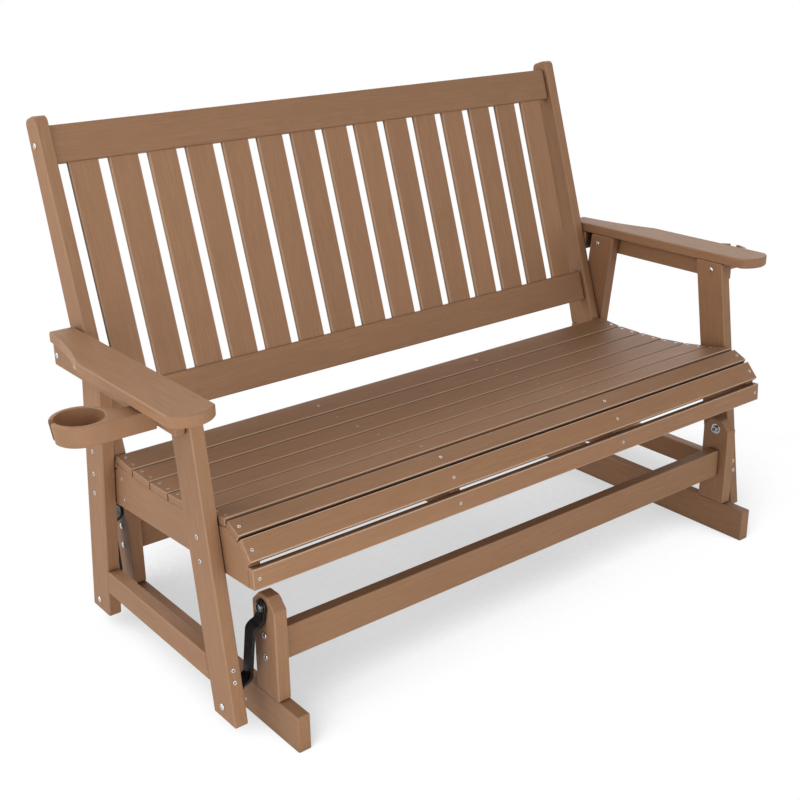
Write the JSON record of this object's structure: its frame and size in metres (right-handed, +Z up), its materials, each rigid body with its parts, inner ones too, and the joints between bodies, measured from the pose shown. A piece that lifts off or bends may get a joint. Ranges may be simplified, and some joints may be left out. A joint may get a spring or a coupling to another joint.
{
  "type": "glider bench",
  "caption": "Slatted outdoor glider bench whose seat, back, arms and cup holders hang from a low base by joggled steel links.",
  "frame": {"origin": "on the floor, under the middle of the whole bench", "axes": "+Z up; +X to the right of someone who looks at the front of the bench, along the seat; +Y towards the back"},
  "size_m": [1.6446, 0.7118, 0.9426],
  "materials": {
    "board": "brown through-coloured plastic board with a fine brushed wood grain",
    "moulding": "brown moulded plastic, lightly textured",
    "link": "black powder-coated flat steel",
    "bolt": "zinc-plated steel"
  },
  "bodies": {
    "base": {"skid_left": "board", "post_front_left": "board", "post_rear_left": "board", "skid_right": "board", "post_front_right": "board", "post_rear_right": "board", "stretcher_front": "board", "stretcher_rear": "board", "pivot_bolts_upper": "bolt"},
    "link_front_left": {"link_front_left": "link"},
    "link_rear_left": {"link_rear_left": "link"},
    "link_front_right": {"link_front_right": "link"},
    "link_rear_right": {"link_rear_right": "link"},
    "seat": {"leg_front_left": "board", "leg_rear_left": "board", "lower_rail_left": "board", "side_rail_left": "board", "seat_rib_left": "board", "leg_front_right": "board", "leg_rear_right": "board", "lower_rail_right": "board", "side_rail_right": "board", "seat_rib_right": "board", "seat_cross_rail": "board", "seat_slat_1": "board", "seat_slat_2": "board", "seat_slat_3": "board", "seat_slat_4": "board", "seat_slat_5": "board", "seat_slat_6": "board", "seat_slat_7": "board", "seat_slat_8": "board", "seat_slat_9": "board", "stile_left": "board", "stile_right": "board", "back_rail_bottom": "board", "back_rail_top": "board", "back_slat_01": "board", "back_slat_02": "board", "back_slat_03": "board", "back_slat_04": "board", "back_slat_05": "board", "back_slat_06": "board", "back_slat_07": "board", "back_slat_08": "board", "back_slat_09": "board", "back_slat_10": "board", "back_slat_11": "board", "back_slat_12": "board", "back_slat_13": "board", "back_slat_14": "board", "back_slat_15": "board", "arm_left": "board", "arm_rail_left": "board", "arm_right": "board", "arm_rail_right": "board", "arm_spacers": "board", "cup_holder_left": "moulding", "cup_holder_right": "moulding", "pivot_bolts_lower": "bolt"}
  },
  "joints": [
    {"name": "swing_front_left", "type": "hinge", "parent": "base", "child": "link_front_left", "pos_m": [-0.5845, -0.26995, 0.234], "axis": [1, 0, 0], "range_deg": [-12, 12]},
    {"name": "seat_pivot", "type": "hinge", "parent": "link_front_left", "child": "seat", "pos_m": [-0.622, -0.23895, 0.0577], "axis": [1, 0, 0], "range_deg": [-13.5, 13.5]},
    {"name": "swing_front_right", "type": "hinge", "parent": "base", "child": "link_front_right", "pos_m": [0.5845, -0.26995, 0.234], "axis": [1, 0, 0], "range_deg": [-12, 12]},
    {"name": "swing_rear_left", "type": "hinge", "parent": "base", "child": "link_rear_left", "pos_m": [-0.5845, 0.23005, 0.234], "axis": [1, 0, 0], "range_deg": [-12, 12]},
    {"name": "swing_rear_right", "type": "hinge", "parent": "base", "child": "link_rear_right", "pos_m": [0.5845, 0.23005, 0.234], "axis": [1, 0, 0], "range_deg": [-12, 12]}
  ],
  "couplings": [
    {"joint": "seat_pivot", "follows": "swing_front_left", "ratio": -1.1169},
    {"joint": "swing_front_right", "follows": "swing_front_left", "ratio": 1},
    {"joint": "swing_rear_left", "follows": "swing_front_left", "ratio": 0.9913},
    {"joint": "swing_rear_right", "follows": "swing_front_left", "ratio": 0.9913}
  ]
}
